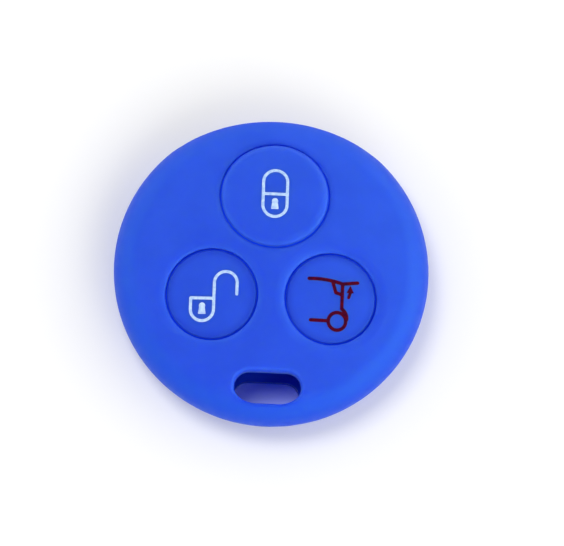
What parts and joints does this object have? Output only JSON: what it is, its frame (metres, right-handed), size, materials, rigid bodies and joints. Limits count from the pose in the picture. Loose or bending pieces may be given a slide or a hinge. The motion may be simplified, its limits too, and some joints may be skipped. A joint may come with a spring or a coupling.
{
  "type": "key fob cover",
  "caption": "Round soft silicone sleeve for a car remote, with press pads over its buttons, a mouth in the rim that it slips in by and a slot for the key ring.",
  "frame": {"origin": "under the middle of the round outline, on the plane of the flat back", "axes": "+Z out of the button face, +Y to the mouth that the remote goes in by, +X to the right seen from above with the mouth at the top"},
  "size_m": [0.044, 0.0429, 0.0114],
  "materials": {
    "blue_silicone": "matte",
    "white_silicone": "matte",
    "red_silicone": "matte"
  },
  "bodies": {
    "cover": {"cover_skin": "blue_silicone", "lock_button_web": "blue_silicone", "unlock_button_web": "blue_silicone", "boot_button_web": "blue_silicone"},
    "lock_button": {"lock_button": "blue_silicone", "lock_symbol_outline": "white_silicone", "lock_symbol_keyhole": "white_silicone"},
    "unlock_button": {"unlock_button": "blue_silicone", "unlock_symbol_outline": "white_silicone", "unlock_symbol_keyhole": "white_silicone"},
    "boot_button": {"boot_button": "blue_silicone", "boot_symbol_car": "red_silicone", "boot_symbol_arrow": "red_silicone"}
  },
  "joints": [
    {"name": "lock_press", "type": "slide", "parent": "cover", "child": "lock_button", "axis": [0, -0.1116, -0.9938], "range_m": [0, 0.0005], "stiffness_N_per_m": 1200, "deforming": ["lock_button_web"]},
    {"name": "unlock_press", "type": "slide", "parent": "cover", "child": "unlock_button", "axis": [0.0966, 0.0558, -0.9938], "range_m": [0, 0.0005], "stiffness_N_per_m": 1200, "deforming": ["unlock_button_web"]},
    {"name": "boot_press", "type": "slide", "parent": "cover", "child": "boot_button", "axis": [-0.0966, 0.0558, -0.9938], "range_m": [0, 0.0005], "stiffness_N_per_m": 1200, "deforming": ["boot_button_web"]}
  ]
}
